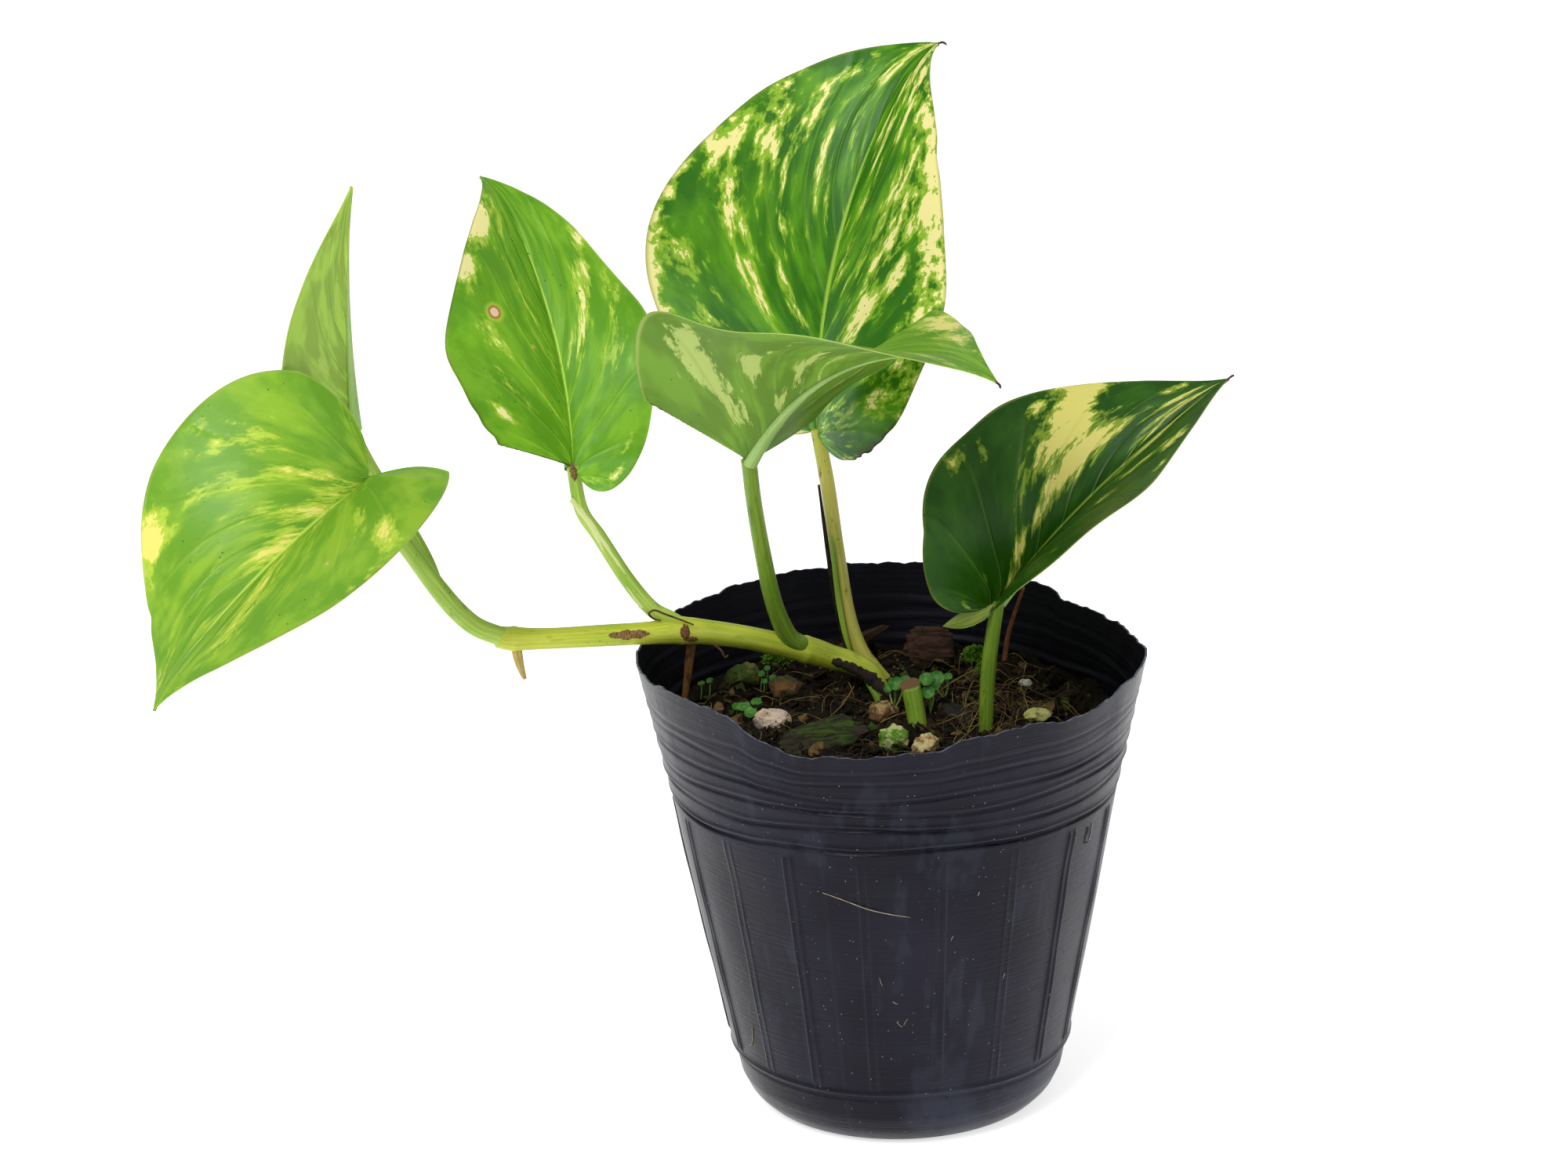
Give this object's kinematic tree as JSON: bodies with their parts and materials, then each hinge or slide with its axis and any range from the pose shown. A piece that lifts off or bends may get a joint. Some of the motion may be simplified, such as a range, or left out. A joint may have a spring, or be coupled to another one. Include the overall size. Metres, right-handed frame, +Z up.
{
  "type": "potted pothos plant",
  "caption": "Trailing pothos vine with heart-shaped, cream-splashed leaves rooted in stony soil in a thin black nursery pot with a grooved collar and upright ribs.",
  "frame": {"origin": "middle of the flat underside of the pot, on the surface it stands on", "axes": "+Z up along the pot's axis, -Y towards the front of the plant, +X to the right seen from the front"},
  "size_m": [0.2542, 0.1363, 0.2451],
  "materials": {
    "pot_plastic": "satin",
    "soil_mix": "matte",
    "stem_green": "satin",
    "leaf_cream_splashed": "satin",
    "leaf_bright": "satin",
    "leaf_underside": "satin",
    "leaf_dark": "satin",
    "sheath_dry": "matte",
    "root_tan": "matte",
    "stone_pale": "matte",
    "stone_warm": "matte",
    "bark_brown": "matte",
    "moss_green": "matte",
    "seedling_green": "satin"
  },
  "bodies": {
    "root": {"aerial_root_inner": "root_tan", "aerial_root_outer": "root_tan", "bark_chip": "bark_brown", "bark_red": "bark_brown", "bark_slab": "bark_brown", "bark_stick": "bark_brown", "cut_stub": "stem_green", "dry_strand": "sheath_dry", "leaf_drooping": "leaf_bright", "leaf_front": "leaf_underside", "leaf_left": "leaf_bright", "leaf_rear": "leaf_cream_splashed", "leaf_right": "leaf_dark", "leaf_upright": "leaf_underside", "moss_back": "moss_green", "moss_left": "moss_green", "moss_right": "moss_green", "node_sheath": "sheath_dry", "petiole_drooping": "stem_green", "petiole_front": "stem_green", "petiole_left": "stem_green", "petiole_rear": "stem_green", "petiole_right": "stem_green", "petiole_upright": "stem_green", "pot": "pot_plastic", "seedling_left": "seedling_green", "seedling_middle": "seedling_green", "seedling_right": "seedling_green", "sheath_left": "sheath_dry", "sheath_rear": "sheath_dry", "side_shoot": "stem_green", "soil": "soil_mix", "stem_sheath": "sheath_dry", "stone_flat": "stone_pale", "stone_knobbly": "stone_warm", "stone_lime_green": "stone_pale", "stone_lime_tan": "stone_pale", "stone_mossy": "stone_warm", "stone_orange": "stone_warm", "stone_pink": "stone_pale", "stone_white": "stone_pale", "stone_yellow": "stone_warm", "vine_stem": "stem_green"}
  },
  "joints": []
}
